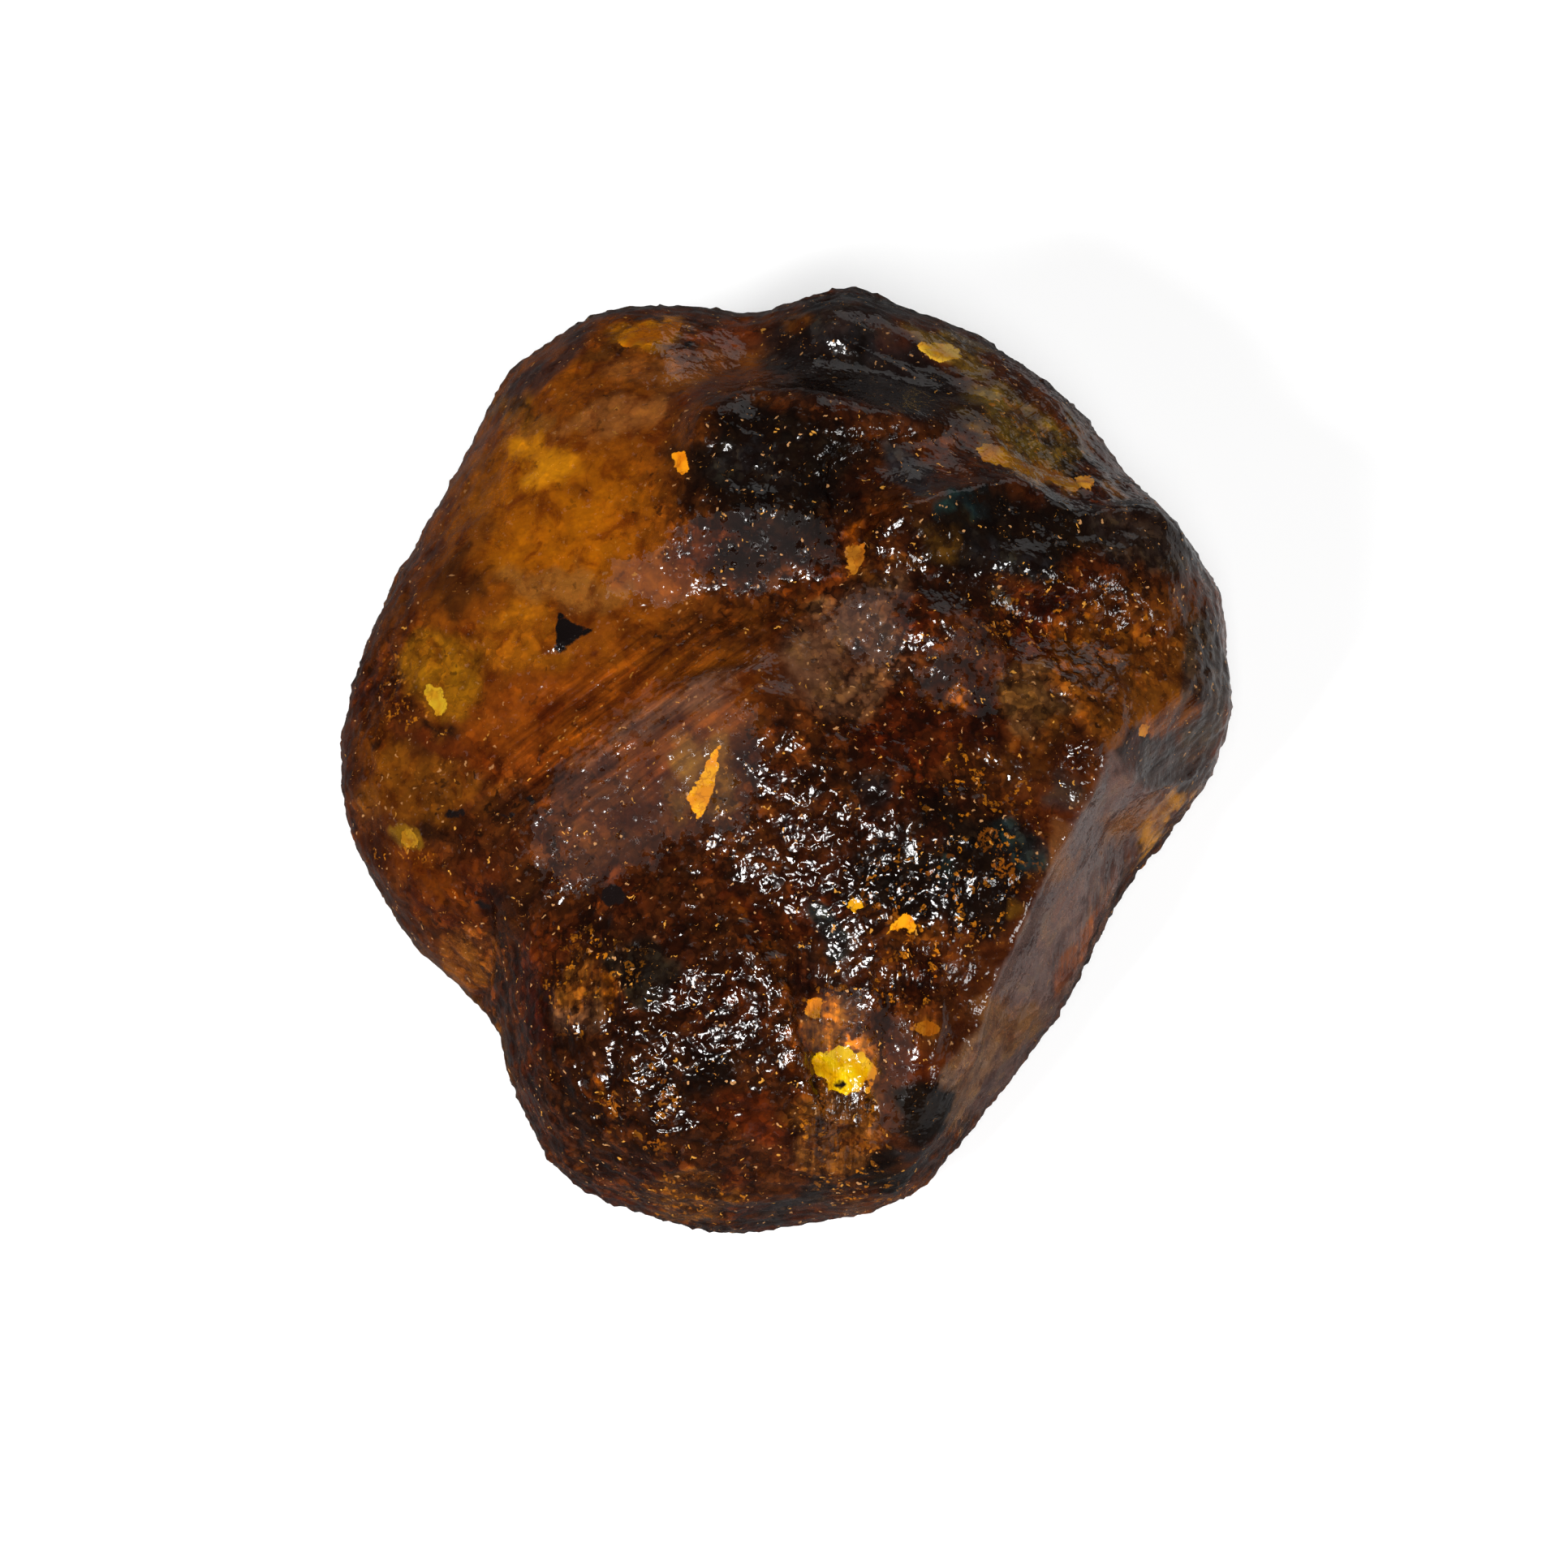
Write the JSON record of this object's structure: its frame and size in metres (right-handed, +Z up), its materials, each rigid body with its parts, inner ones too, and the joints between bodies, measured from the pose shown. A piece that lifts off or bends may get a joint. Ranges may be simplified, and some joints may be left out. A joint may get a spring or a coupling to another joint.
{
  "type": "raw amber piece",
  "caption": "Rough rounded nodule of raw amber: one solid lump of dark fossil resin with folded, pitted skin and golden translucent patches, lying on its flattened underside.",
  "frame": {"origin": "on the table, at the bottom centre of the bounding box", "axes": "+Z up, the shortest way through the nodule; +Y towards the high back rim, along its longest extent; the broad domed face leans towards -Y; +X to the right seen from the face"},
  "size_m": [0.0474, 0.0506, 0.0266],
  "materials": {
    "amber": "glossy, finely pitted natural skin; dark brown to black with golden translucent patches"
  },
  "bodies": {
    "root": {"amber_nodule": "amber"}
  },
  "joints": []
}
